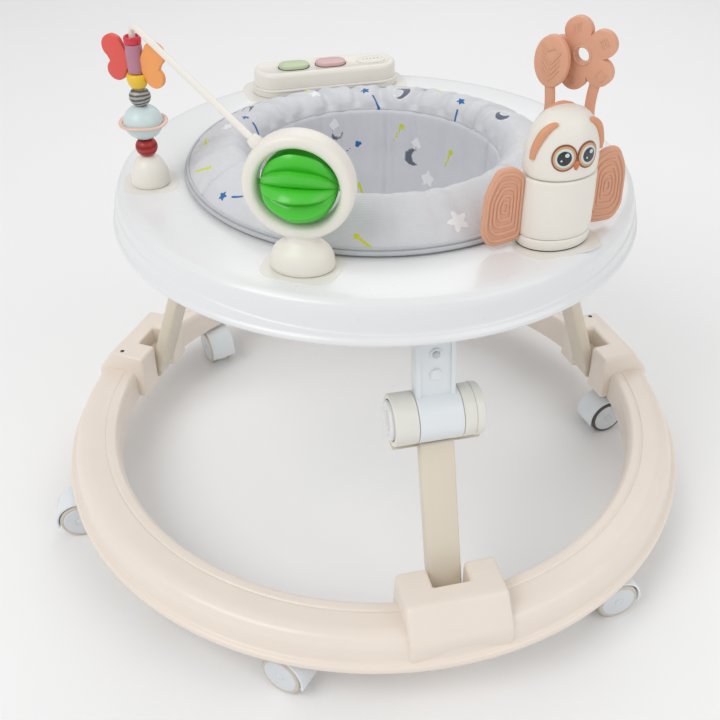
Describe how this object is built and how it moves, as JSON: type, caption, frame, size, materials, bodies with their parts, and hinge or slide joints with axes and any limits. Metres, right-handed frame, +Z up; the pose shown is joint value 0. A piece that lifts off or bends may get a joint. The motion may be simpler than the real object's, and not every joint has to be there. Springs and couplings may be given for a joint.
{
  "type": "baby walker",
  "caption": "Round baby walker with a caster base ring, folding legs, a play tray with toys and a padded, hung fabric seat.",
  "frame": {"origin": "floor level on the base ring's vertical axis, with the wheels standing on z = 0", "axes": "+Z up along the base ring's axis; -Y towards the side with the windmill and the front leg; +X to the right seen from there"},
  "size_m": [0.6822, 0.68, 0.5585],
  "materials": {
    "cream_plastic": "semi-gloss moulded",
    "steel": "plain",
    "white_plastic": "glossy moulded",
    "wheel_plastic": "satin",
    "warm_white_plastic": "satin moulded",
    "seat_fabric": "padded woven polyester",
    "green_plastic": "glossy",
    "sage_plastic": "satin",
    "pink_plastic": "satin",
    "peach_silicone": "matte silicone",
    "coral_plastic": "satin",
    "orange_plastic": "satin",
    "mauve_plastic": "satin",
    "yellow_plastic": "satin",
    "grey_plastic": "marbled satin",
    "pale_blue_plastic": "satin",
    "salmon_plastic": "satin",
    "dark_red_plastic": "satin",
    "red_plastic": "satin"
  },
  "bodies": {
    "base": {"base_ring": "cream_plastic", "base_pin_front": "steel", "base_pin_right": "steel", "base_pin_left": "steel"},
    "lower_arm_front": {"lower_arm_front": "cream_plastic"},
    "upper_arm_front": {"upper_arm_front": "white_plastic"},
    "knee_button_front": {"knee_button_front": "white_plastic"},
    "lower_arm_right": {"lower_arm_right": "cream_plastic"},
    "upper_arm_right": {"upper_arm_right": "white_plastic"},
    "knee_button_right": {"knee_button_right": "white_plastic"},
    "lower_arm_left": {"lower_arm_left": "cream_plastic"},
    "upper_arm_left": {"upper_arm_left": "white_plastic"},
    "knee_button_left": {"knee_button_left": "white_plastic"},
    "tray": {"tray_shell": "white_plastic", "seat_hoop": "warm_white_plastic", "seat_collar": "seat_fabric", "seat_sling": "seat_fabric", "tray_bracket_front": "white_plastic", "tray_bracket_right": "white_plastic", "tray_bracket_left": "white_plastic", "music_base": "warm_white_plastic", "music_cover": "warm_white_plastic", "windmill_stand": "warm_white_plastic", "bead_dome": "warm_white_plastic", "bead_rod": "warm_white_plastic", "bead_cap": "red_plastic", "owl_base": "warm_white_plastic", "owl_body": "warm_white_plastic", "owl_wing_left": "peach_silicone", "owl_wing_right": "peach_silicone"},
    "music_button_green": {"music_button_green": "sage_plastic"},
    "music_button_pink": {"music_button_pink": "pink_plastic"},
    "windmill_ball": {"windmill_ball": "green_plastic"},
    "bead_dark_red": {"bead_dark_red": "dark_red_plastic"},
    "bead_planet": {"bead_planet": "pale_blue_plastic"},
    "planet_ring": {"planet_ring": "salmon_plastic"},
    "bead_grey": {"bead_grey": "grey_plastic"},
    "bead_cup": {"bead_cup": "yellow_plastic"},
    "butterfly": {"butterfly_body": "mauve_plastic", "butterfly_wing_left": "coral_plastic", "butterfly_wing_right": "orange_plastic"},
    "owl_head": {"owl_head": "warm_white_plastic", "teether_flower": "peach_silicone", "teether_leaf": "peach_silicone"},
    "caster_a": {"caster_fork_a": "white_plastic"},
    "wheels_a": {"caster_wheels_a": "wheel_plastic"},
    "caster_b": {"caster_fork_b": "white_plastic"},
    "wheels_b": {"caster_wheels_b": "wheel_plastic"},
    "caster_c": {"caster_fork_c": "white_plastic"},
    "wheels_c": {"caster_wheels_c": "wheel_plastic"},
    "caster_d": {"caster_fork_d": "white_plastic"},
    "wheels_d": {"caster_wheels_d": "wheel_plastic"},
    "caster_e": {"caster_fork_e": "white_plastic"},
    "wheels_e": {"caster_wheels_e": "wheel_plastic"},
    "caster_f": {"caster_fork_f": "white_plastic"},
    "wheels_f": {"caster_wheels_f": "wheel_plastic"},
    "caster_g": {"caster_fork_g": "white_plastic"},
    "wheels_g": {"caster_wheels_g": "wheel_plastic"}
  },
  "joints": [
    {"name": "front_leg_fold", "type": "hinge", "parent": "base", "child": "lower_arm_front", "pos_m": [0.06677, -0.2678, 0.066], "axis": [-0.9703, -0.2419, 0], "range_deg": [0, 53]},
    {"name": "front_knee", "type": "hinge", "parent": "lower_arm_front", "child": "upper_arm_front", "pos_m": [0.0525, -0.21055, 0.24], "axis": [-0.9703, -0.2419, 0], "range_deg": [-132.5, 0]},
    {"name": "front_knee_button_press", "type": "slide", "parent": "lower_arm_front", "child": "knee_button_front", "axis": [0.9703, 0.2419, 0], "range_m": [0, 0.003], "stiffness_N_per_m": 1500, "springref_m": -0.002},
    {"name": "right_leg_fold", "type": "hinge", "parent": "base", "child": "lower_arm_right", "pos_m": [0.25936, 0.0944, 0.066], "axis": [0.342, -0.9397, 0], "range_deg": [0, 53]},
    {"name": "right_knee", "type": "hinge", "parent": "lower_arm_right", "child": "upper_arm_right", "pos_m": [0.20391, 0.07422, 0.24], "axis": [0.342, -0.9397, 0], "range_deg": [-132.5, 0]},
    {"name": "right_knee_button_press", "type": "slide", "parent": "lower_arm_right", "child": "knee_button_right", "axis": [-0.342, 0.9397, 0], "range_m": [0, 0.003], "stiffness_N_per_m": 1500, "springref_m": -0.002},
    {"name": "left_leg_fold", "type": "hinge", "parent": "base", "child": "lower_arm_left", "pos_m": [-0.26096, 0.08986, 0.066], "axis": [0.3256, 0.9455, 0], "range_deg": [0, 53]},
    {"name": "left_knee", "type": "hinge", "parent": "lower_arm_left", "child": "upper_arm_left", "pos_m": [-0.20518, 0.07065, 0.24], "axis": [0.3256, 0.9455, 0], "range_deg": [-132.5, 0]},
    {"name": "left_knee_button_press", "type": "slide", "parent": "lower_arm_left", "child": "knee_button_left", "axis": [-0.3256, -0.9455, 0], "range_m": [0, 0.003], "stiffness_N_per_m": 1500, "springref_m": -0.002},
    {"name": "tray_hinge", "type": "hinge", "parent": "upper_arm_front", "child": "tray", "pos_m": [0.04887, -0.196, 0.346], "axis": [-0.9703, -0.2419, 0], "range_deg": [0, 79.5], "deforming": ["seat_sling"]},
    {"name": "music_button_green_press", "type": "slide", "parent": "tray", "child": "music_button_green", "axis": [0, 0, -1], "range_m": [0, 0.0015], "stiffness_N_per_m": 800, "springref_m": -0.001},
    {"name": "music_button_pink_press", "type": "slide", "parent": "tray", "child": "music_button_pink", "axis": [0, 0, -1], "range_m": [0, 0.0015], "stiffness_N_per_m": 800, "springref_m": -0.001},
    {"name": "windmill_spin", "type": "hinge", "parent": "tray", "child": "windmill_ball", "pos_m": [-0.0585, -0.193, 0.453], "axis": [0.9877, -0.1564, 0], "continuous": true},
    {"name": "bead_dark_red_spin", "type": "hinge", "parent": "tray", "child": "bead_dark_red", "pos_m": [-0.2095, -0.046, 0.417], "axis": [0, 0, 1], "continuous": true},
    {"name": "bead_planet_spin", "type": "hinge", "parent": "tray", "child": "bead_planet", "pos_m": [-0.2095, -0.046, 0.4411], "axis": [0, 0, 1], "continuous": true},
    {"name": "planet_ring_spin", "type": "hinge", "parent": "tray", "child": "planet_ring", "pos_m": [-0.2095, -0.046, 0.4411], "axis": [0, 0, 1], "continuous": true},
    {"name": "bead_grey_spin", "type": "hinge", "parent": "tray", "child": "bead_grey", "pos_m": [-0.2095, -0.046, 0.4648], "axis": [0, 0, 1], "continuous": true},
    {"name": "bead_cup_spin", "type": "hinge", "parent": "tray", "child": "bead_cup", "pos_m": [-0.2095, -0.046, 0.4796], "axis": [0, 0, 1], "continuous": true},
    {"name": "butterfly_spin", "type": "hinge", "parent": "tray", "child": "butterfly", "pos_m": [-0.2095, -0.046, 0.4996], "axis": [0, 0, 1], "continuous": true},
    {"name": "owl_head_turn", "type": "hinge", "parent": "tray", "child": "owl_head", "pos_m": [0.1497, -0.1446, 0.4443], "axis": [0, 0, 1], "range_deg": [-45, 45]},
    {"name": "caster_a_swivel", "type": "hinge", "parent": "base", "child": "caster_a", "pos_m": [-0.29034, -0.11145, 0.05], "axis": [0, 0, 1], "continuous": true},
    {"name": "wheels_a_roll", "type": "hinge", "parent": "caster_a", "child": "wheels_a", "pos_m": [-0.31578, -0.11686, 0.021], "axis": [0.2079, -0.9781, 0], "continuous": true},
    {"name": "caster_b_swivel", "type": "hinge", "parent": "base", "child": "caster_b", "pos_m": [-0.2121, -0.22745, 0.05], "axis": [0, 0, 1], "continuous": true},
    {"name": "wheels_b_roll", "type": "hinge", "parent": "caster_b", "child": "wheels_b", "pos_m": [-0.19218, -0.21074, 0.021], "axis": [-0.6428, 0.766, 0], "continuous": true},
    {"name": "caster_c_swivel", "type": "hinge", "parent": "base", "child": "caster_c", "pos_m": [-0.09868, -0.29493, 0.05], "axis": [0, 0, 1], "continuous": true},
    {"name": "wheels_c_roll", "type": "hinge", "parent": "caster_c", "child": "wheels_c", "pos_m": [-0.07616, -0.30793, 0.021], "axis": [0.5, 0.866, 0], "continuous": true},
    {"name": "caster_d_swivel", "type": "hinge", "parent": "base", "child": "caster_d", "pos_m": [0.2121, -0.22745, 0.05], "axis": [0, 0, 1], "continuous": true},
    {"name": "wheels_d_roll", "type": "hinge", "parent": "caster_d", "child": "wheels_d", "pos_m": [0.23683, -0.21942, 0.021], "axis": [-0.309, 0.9511, 0], "continuous": true},
    {"name": "caster_e_swivel", "type": "hinge", "parent": "base", "child": "caster_e", "pos_m": [0.30303, 0.06996, 0.05], "axis": [0, 0, 1], "continuous": true},
    {"name": "wheels_e_roll", "type": "hinge", "parent": "caster_e", "child": "wheels_e", "pos_m": [0.27892, 0.06022, 0.021], "axis": [0.3746, -0.9272, 0], "continuous": true},
    {"name": "caster_f_swivel", "type": "hinge", "parent": "base", "child": "caster_f", "pos_m": [0.08572, 0.29895, 0.05], "axis": [0, 0, 1], "continuous": true},
    {"name": "wheels_f_roll", "type": "hinge", "parent": "caster_f", "child": "wheels_f", "pos_m": [0.08121, 0.27335, 0.021], "axis": [0.9848, -0.1736, 0], "continuous": true},
    {"name": "caster_g_swivel", "type": "hinge", "parent": "base", "child": "caster_g", "pos_m": [-0.22371, 0.21604, 0.05], "axis": [0, 0, 1], "continuous": true},
    {"name": "wheels_g_roll", "type": "hinge", "parent": "caster_g", "child": "wheels_g", "pos_m": [-0.21072, 0.19352, 0.021], "axis": [0.866, 0.5, 0], "continuous": true}
  ],
  "couplings": [
    {"joint": "front_knee", "follows": "front_leg_fold", "ratio": -2.5},
    {"joint": "right_leg_fold", "follows": "front_leg_fold", "ratio": 1},
    {"joint": "right_knee", "follows": "front_leg_fold", "ratio": -2.5},
    {"joint": "left_leg_fold", "follows": "front_leg_fold", "ratio": 1},
    {"joint": "left_knee", "follows": "front_leg_fold", "ratio": -2.5},
    {"joint": "tray_hinge", "follows": "front_leg_fold", "ratio": 1.5}
  ]
}
